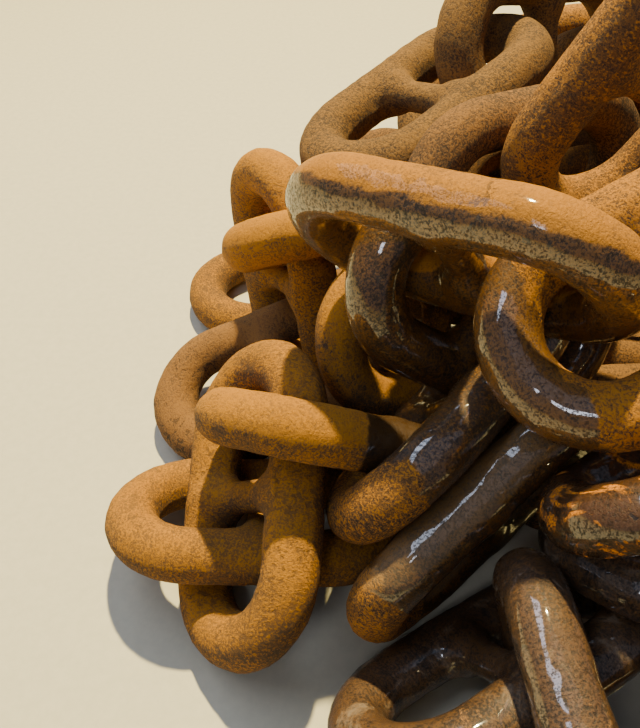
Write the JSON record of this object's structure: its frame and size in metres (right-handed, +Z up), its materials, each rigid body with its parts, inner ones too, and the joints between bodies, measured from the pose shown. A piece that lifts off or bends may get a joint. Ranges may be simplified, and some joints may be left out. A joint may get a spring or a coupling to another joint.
{
  "type": "heap of stud-link chain",
  "caption": "Rough heap of heavy stud-link anchor chain, its rusted links threaded together and lying over one another on level ground.",
  "frame": {"origin": "centre of the heap's bounding box at ground level", "axes": "+Z up; +Y from the side the picture was taken from towards the far side; +X to the right in the picture"},
  "size_m": [1.562, 1.7444, 0.835],
  "materials": {
    "dry_rust": "rough dry orange and brown rust with dark pits",
    "wet_rust": "wet or oily dark rust, glossy, with dusty grey patches"
  },
  "bodies": {
    "root": {"back_chain_link_1": "dry_rust", "back_chain_link_2": "dry_rust", "back_chain_link_3": "dry_rust", "back_chain_link_4": "dry_rust", "bed_chain_1_link_1": "dry_rust", "bed_chain_1_link_2": "dry_rust", "bed_chain_2_link_1": "dry_rust", "bed_chain_2_link_2": "dry_rust", "bed_chain_2_link_3": "dry_rust", "bed_chain_3_link_1": "dry_rust", "bed_chain_3_link_2": "dry_rust", "bed_chain_3_link_3": "dry_rust", "bed_chain_3_link_4": "dry_rust", "crest_bar_link": "dry_rust", "crest_chain_link_1": "dry_rust", "crest_chain_link_2": "dry_rust", "crest_chain_link_3": "dry_rust", "crest_chain_link_4": "dry_rust", "far_left_link": "dry_rust", "long_bar_link": "wet_rust", "long_chain_link_1": "dry_rust", "long_chain_link_2": "dry_rust", "long_chain_link_3": "dry_rust", "long_chain_link_4": "wet_rust", "long_chain_link_5": "wet_rust", "long_chain_link_6": "wet_rust", "long_chain_link_7": "wet_rust", "low_chain_link_1": "dry_rust", "low_chain_link_2": "dry_rust", "low_chain_link_3": "dry_rust", "middle_chain_1_link_1": "dry_rust", "middle_chain_1_link_2": "dry_rust", "middle_chain_2_link_1": "dry_rust", "middle_chain_2_link_2": "dry_rust", "near_dry_link": "dry_rust", "painted_link": "wet_rust", "rear_chain_1_link_1": "dry_rust", "rear_chain_1_link_2": "dry_rust", "rear_chain_2_link_1": "dry_rust", "rear_chain_2_link_2": "dry_rust", "right_low_chain_link_1": "dry_rust", "right_low_chain_link_2": "dry_rust", "right_toe_chain_link_1": "wet_rust", "right_toe_chain_link_2": "wet_rust", "toe_chain_link_1": "wet_rust", "toe_chain_link_2": "wet_rust", "toe_chain_link_3": "wet_rust", "under_crest_link": "dry_rust", "upper_chain_link_1": "dry_rust", "upper_chain_link_2": "dry_rust", "upright_link": "dry_rust"}
  },
  "joints": []
}
